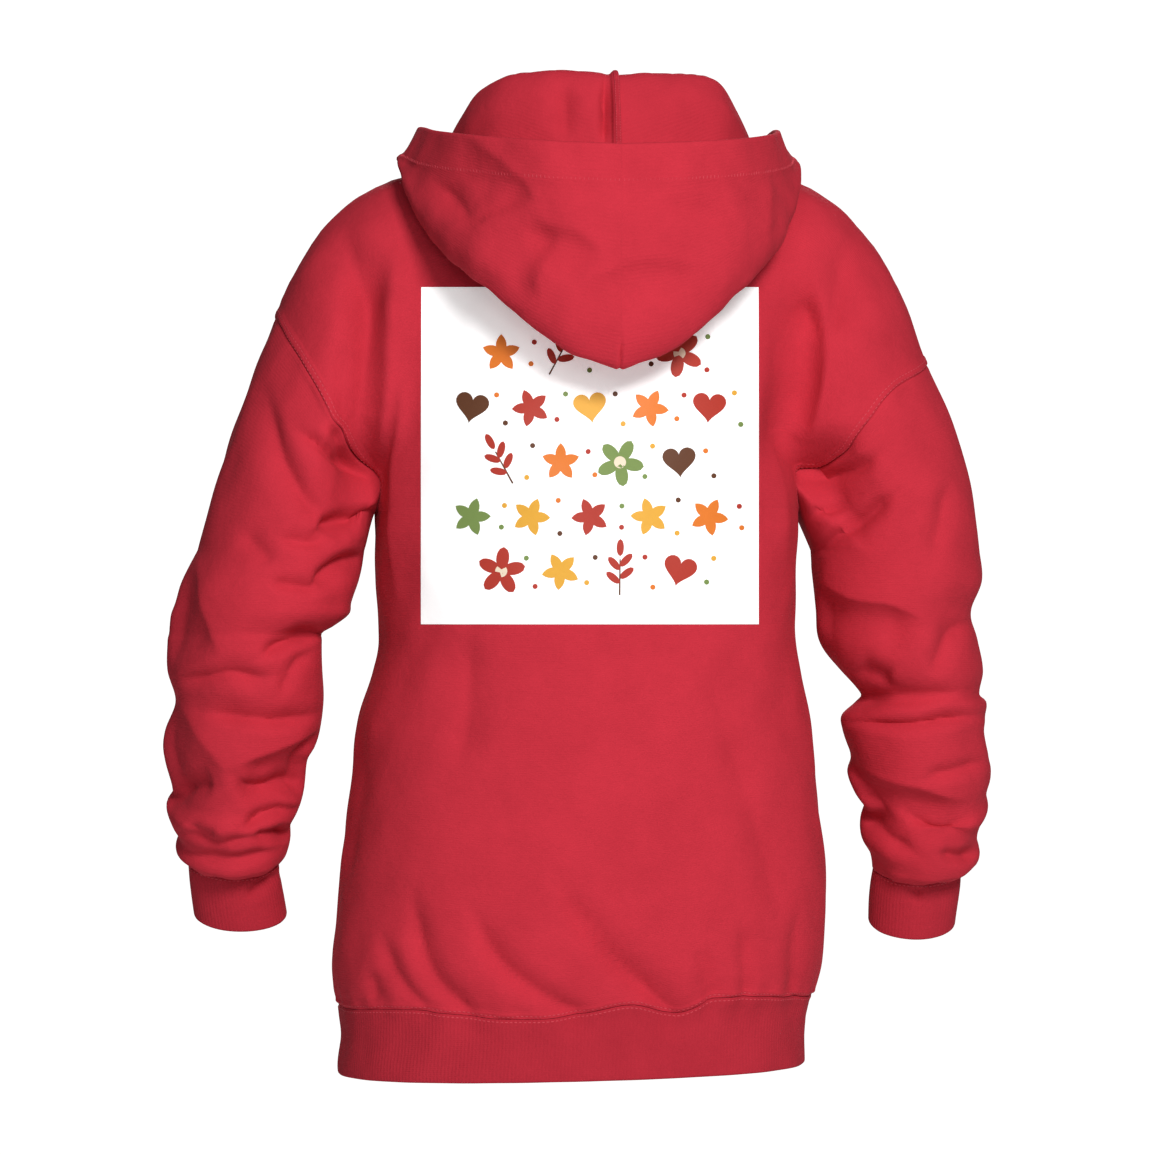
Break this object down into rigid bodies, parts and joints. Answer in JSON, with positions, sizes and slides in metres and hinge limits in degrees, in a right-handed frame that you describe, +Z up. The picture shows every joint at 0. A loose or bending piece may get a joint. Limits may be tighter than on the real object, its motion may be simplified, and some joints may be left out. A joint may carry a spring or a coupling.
{
  "type": "kids hoodie",
  "caption": "Child's long-sleeved pullover hoodie in fleece with the hood down, ribbed cuffs and waistband, hollow as if worn.",
  "frame": {"origin": "middle of the neck opening, where the wearer's neck and shoulders hold the garment up", "axes": "+Z up; the back of the garment faces -Y and its front +Y; +X points to the wearer's right; the hem is at -Z"},
  "size_m": [0.521, 0.2629, 0.6144],
  "materials": {
    "fleece": "soft brushed cotton sweatshirt knit, red",
    "rib": "fine rib knit, slightly darker red"
  },
  "bodies": {
    "root": {"back_panel": "fleece", "front_panel": "fleece", "sleeve_left": "fleece", "sleeve_right": "fleece", "hood_left": "fleece", "hood_right": "fleece", "cuff_left": "rib", "cuff_right": "rib", "waistband": "rib"}
  },
  "joints": []
}
